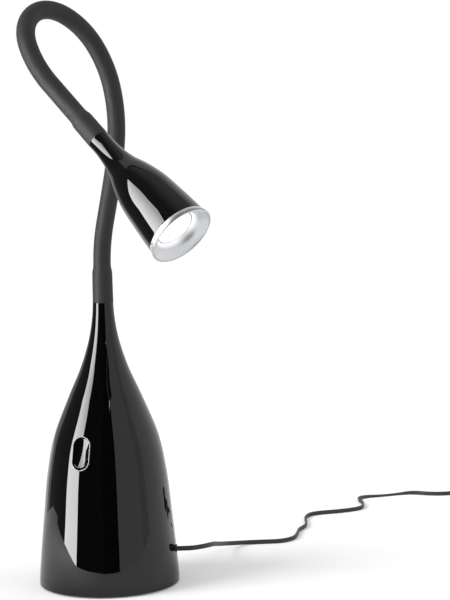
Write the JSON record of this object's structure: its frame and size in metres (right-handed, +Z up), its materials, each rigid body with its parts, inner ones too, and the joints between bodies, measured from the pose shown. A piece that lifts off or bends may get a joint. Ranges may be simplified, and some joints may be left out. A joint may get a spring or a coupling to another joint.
{
  "type": "gooseneck desk lamp",
  "caption": "Desk lamp with a bell-shaped weighted base, flexible gooseneck, small cone head with a ring-lit lens, rocker switch and coiled cord with plug-in adapter.",
  "frame": {"origin": "centre of the round foot, on the table", "axes": "+Z up, -Y towards the side that the switch and the bent neck face, +X towards the side that the cord leaves"},
  "size_m": [0.4969, 0.5121, 0.4085],
  "materials": {
    "black_gloss": "deep gloss black moulded shell",
    "rocker_black": "gloss black moulded rocker",
    "chrome_trim": "bright chromed ring",
    "satin_silver": "satin silver reflector with a brighter rim",
    "frosted_lens": "frosted diffuser, lit from behind",
    "zinc_steel": "zinc-plated steel",
    "ballast_iron": "cast weight, dull grey",
    "foot_rubber": "matt black non-slip pad",
    "board_green": "circuit board with a green mask",
    "board_white": "metal-core light board with a white mask",
    "part_black": "moulded electrical parts",
    "nylon": "natural nylon clamp",
    "brass_tab": "plain brass blades",
    "wire_black": "insulated lead",
    "neck_silicone": "matt dark grey silicone sleeve",
    "raw_aluminium": "turned aluminium",
    "led_phosphor": "yellow phosphor dome on a white package",
    "cord_rubber": "dark grey flat twin cord and its mouldings",
    "adapter_black": "fine-textured black moulding",
    "pin_nickel": "nickel-plated contact pins"
  },
  "bodies": {
    "base": {"base_shell": "black_gloss", "base_plate": "zinc_steel", "foot_pad": "foot_rubber", "ballast_weight": "ballast_iron", "plate_screws": "zinc_steel", "driver_board": "board_green", "board_parts": "part_black", "board_screws": "zinc_steel", "cable_grommet": "cord_rubber", "cord_clamp": "nylon", "clamp_screws": "zinc_steel", "switch_bezel": "chrome_trim", "switch_body": "part_black", "switch_terminals": "brass_tab", "base_wiring": "wire_black", "lower_ferrule": "zinc_steel", "lower_nut": "zinc_steel", "lower_cuff": "neck_silicone", "power_cord": "cord_rubber", "cord_tail": "cord_rubber", "cord_coil": "cord_rubber", "coil_tie": "wire_black", "adapter_cover": "adapter_black", "adapter_case": "adapter_black", "adapter_pins": "pin_nickel", "adapter_relief": "cord_rubber"},
    "rocker": {"switch_rocker": "rocker_black"},
    "link_01": {"neck_core_01": "zinc_steel", "neck_sleeve_01": "neck_silicone"},
    "link_02": {"neck_core_02": "zinc_steel", "neck_sleeve_02": "neck_silicone"},
    "link_03": {"neck_core_03": "zinc_steel", "neck_sleeve_03": "neck_silicone"},
    "link_04": {"neck_core_04": "zinc_steel", "neck_sleeve_04": "neck_silicone"},
    "link_05": {"neck_core_05": "zinc_steel", "neck_sleeve_05": "neck_silicone"},
    "link_06": {"neck_core_06": "zinc_steel", "neck_sleeve_06": "neck_silicone"},
    "link_07": {"neck_core_07": "zinc_steel", "neck_sleeve_07": "neck_silicone"},
    "link_08": {"neck_core_08": "zinc_steel", "neck_sleeve_08": "neck_silicone"},
    "link_09": {"neck_core_09": "zinc_steel", "neck_sleeve_09": "neck_silicone"},
    "link_10": {"neck_core_10": "zinc_steel", "neck_sleeve_10": "neck_silicone"},
    "head": {"upper_cuff": "neck_silicone", "upper_ferrule": "zinc_steel", "upper_nut": "zinc_steel", "head_shell": "black_gloss", "reflector_ring": "satin_silver", "lens": "frosted_lens", "heat_sink": "raw_aluminium", "led_board": "board_white", "led_chip": "led_phosphor", "led_screws": "zinc_steel", "head_wiring": "wire_black"}
  },
  "joints": [
    {"name": "switch_rock", "type": "hinge", "parent": "base", "child": "rocker", "pos_m": [-0.01353, -0.03265, 0.09812], "axis": [0.9239, -0.3827, 0], "range_deg": [0, 12]},
    {"name": "neck_bend_01", "type": "hinge", "parent": "base", "child": "link_01", "pos_m": [0, 0, 0.2273], "axis": [0, 1, 0], "range_deg": [-20, 20], "deforming": ["neck_sleeve_01"]},
    {"name": "neck_bend_02", "type": "hinge", "parent": "link_01", "child": "link_02", "pos_m": [0.00322, -0.00334, 0.25834], "axis": [0.9789, 0.0218, -0.2031], "range_deg": [-20, 20], "deforming": ["neck_sleeve_02", "neck_sleeve_01"]},
    {"name": "neck_bend_03", "type": "hinge", "parent": "link_02", "child": "link_03", "pos_m": [0.00944, -0.01102, 0.28824], "axis": [-0.0355, -0.9605, -0.2759], "range_deg": [-20, 20], "deforming": ["neck_sleeve_03", "neck_sleeve_02"]},
    {"name": "neck_bend_04", "type": "hinge", "parent": "link_03", "child": "link_04", "pos_m": [0.01352, -0.01841, 0.31856], "axis": [-0.9975, 0.0107, 0.07], "range_deg": [-20, 20], "deforming": ["neck_sleeve_04", "neck_sleeve_03"]},
    {"name": "neck_bend_05", "type": "hinge", "parent": "link_04", "child": "link_05", "pos_m": [0.01181, -0.02286, 0.3496], "axis": [0.0289, 0.9949, 0.0968], "range_deg": [-20, 20], "deforming": ["neck_sleeve_05", "neck_sleeve_04"]},
    {"name": "neck_bend_06", "type": "hinge", "parent": "link_05", "child": "link_06", "pos_m": [0.00141, -0.02744, 0.37881], "axis": [0.8773, -0.0923, 0.4709], "range_deg": [-20, 20], "deforming": ["neck_sleeve_06", "neck_sleeve_05"]},
    {"name": "neck_bend_07", "type": "hinge", "parent": "link_06", "child": "link_07", "pos_m": [-0.01799, -0.04013, 0.39933], "axis": [0.3233, -0.7737, -0.5449], "range_deg": [-20, 20], "deforming": ["neck_sleeve_07", "neck_sleeve_06"]},
    {"name": "neck_bend_08", "type": "hinge", "parent": "link_07", "child": "link_08", "pos_m": [-0.03694, -0.06364, 0.3981], "axis": [-0.3462, 0.6046, -0.7174], "range_deg": [-20, 20], "deforming": ["neck_sleeve_08", "neck_sleeve_07"]},
    {"name": "neck_bend_09", "type": "hinge", "parent": "link_08", "child": "link_09", "pos_m": [-0.03846, -0.08405, 0.37558], "axis": [-0.8932, -0.4378, -0.1029], "range_deg": [-20, 20], "deforming": ["neck_sleeve_09", "neck_sleeve_08"]},
    {"name": "neck_bend_10", "type": "hinge", "parent": "link_09", "child": "link_10", "pos_m": [-0.02374, -0.09534, 0.35033], "axis": [0.2992, -0.771, 0.5622], "range_deg": [-20, 20], "deforming": ["neck_sleeve_10", "neck_sleeve_09"]},
    {"name": "neck_bend_11", "type": "hinge", "parent": "link_10", "child": "head", "pos_m": [-0.00487, -0.10756, 0.32836], "axis": [0.7953, 0.5212, 0.3096], "range_deg": [-20, 20], "deforming": ["neck_sleeve_10"]}
  ]
}
